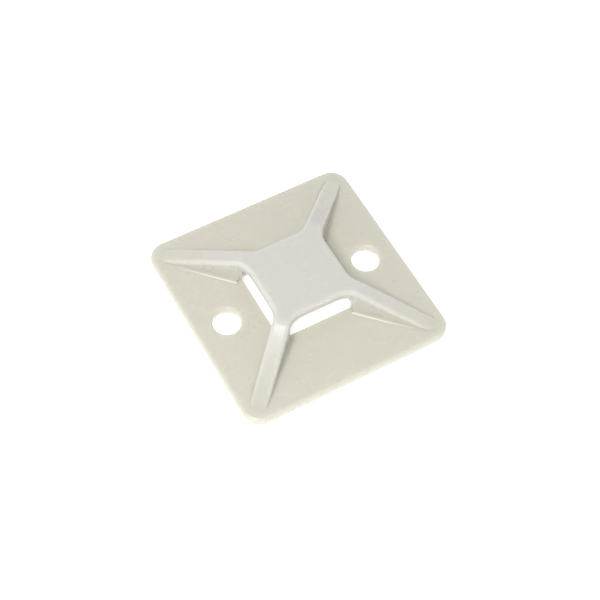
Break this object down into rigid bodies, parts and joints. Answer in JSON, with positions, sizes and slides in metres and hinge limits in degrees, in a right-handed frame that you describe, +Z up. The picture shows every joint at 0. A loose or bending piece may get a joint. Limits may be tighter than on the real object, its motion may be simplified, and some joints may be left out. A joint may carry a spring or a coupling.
{
  "type": "cable tie mount",
  "caption": "Square screw-down mount for cable ties, with a raised bridge on sloping ribs that a tie can be threaded under from any side.",
  "frame": {"origin": "centre of the flat underside", "axes": "+Z up from the underside to the bridge, +X through both screw holes"},
  "size_m": [0.028, 0.028, 0.0051],
  "materials": {
    "natural_nylon": "translucent milky nylon with a satin moulded surface"
  },
  "bodies": {
    "root": {"tie_mount": "natural_nylon"}
  },
  "joints": []
}
